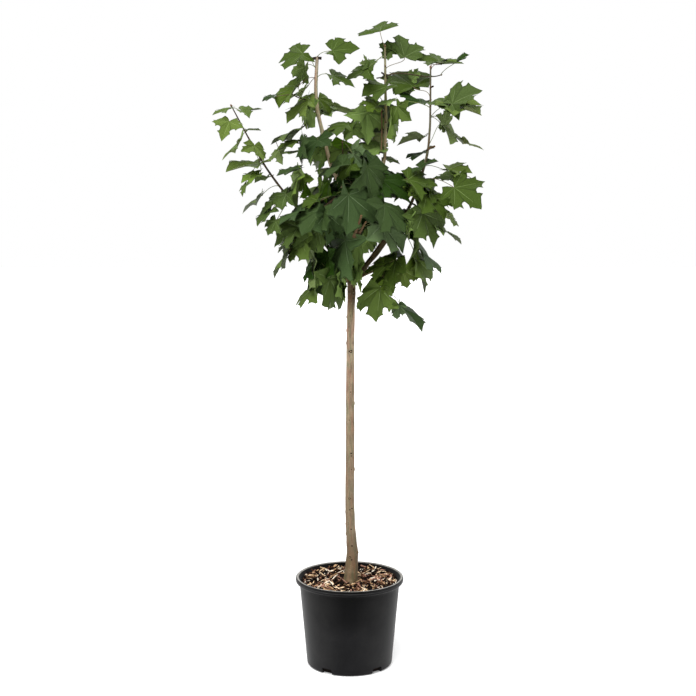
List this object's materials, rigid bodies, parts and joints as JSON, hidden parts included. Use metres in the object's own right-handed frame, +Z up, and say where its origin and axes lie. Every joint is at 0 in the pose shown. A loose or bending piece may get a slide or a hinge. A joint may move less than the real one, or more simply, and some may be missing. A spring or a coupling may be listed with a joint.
{
  "type": "potted globe maple",
  "caption": "Young standard maple with a slim clear stem and an open rounded head of large lobed leaves, growing in a tapered black nursery container with bark mulch.",
  "frame": {"origin": "middle of the container's flat underside", "axes": "+Z up along the stem, -Y towards the front seen in the picture, +X to the right in that view"},
  "size_m": [0.7022, 0.5773, 1.6525],
  "materials": {
    "pot_plastic": "satin black moulded plastic, lightly scuffed",
    "mulch": "loose bark chips and pale wood splinters over dark potting soil",
    "stem_bark": "young smooth grey-tan bark with bud scars and pores",
    "bough_bark": "smooth tan-green young bark",
    "leaf": "matt leaf green, yellower on the young tips"
  },
  "bodies": {
    "root": {"pot": "pot_plastic", "soil_and_mulch": "mulch", "trunk": "stem_bark", "left_leader": "bough_bark", "centre_leader": "bough_bark", "right_leader": "bough_bark", "left_shoot": "bough_bark", "low_left_bough": "bough_bark", "low_right_bough": "bough_bark", "front_bough": "bough_bark", "back_bough": "bough_bark", "back_left_bough": "bough_bark", "back_right_bough": "bough_bark", "leaves_top": "leaf", "leaves_top_right": "leaf", "leaves_top_left": "leaf", "leaves_top_middle": "leaf", "leaves_left_spray_tip": "leaf", "leaves_left_spray": "leaf", "leaves_left_spray_foot": "leaf", "leaves_right_top": "leaf", "leaves_right_tail": "leaf", "leaves_right_big": "leaf", "leaves_hanging_right": "leaf", "leaves_front_middle": "leaf", "leaves_front_top": "leaf", "leaves_left_upper": "leaf", "leaves_centre_top": "leaf", "leaves_middle": "leaf", "leaves_left_middle": "leaf", "leaves_right_inner": "leaf", "leaves_right_middle": "leaf", "leaves_left_low": "leaf", "leaves_low_left": "leaf", "leaves_low_right": "leaf", "leaves_right_low": "leaf", "leaves_back_left": "leaf", "leaves_back_right": "leaf", "leaves_back_middle": "leaf", "leaves_back_top": "leaf", "leaves_back_low": "leaf"}
  },
  "joints": []
}
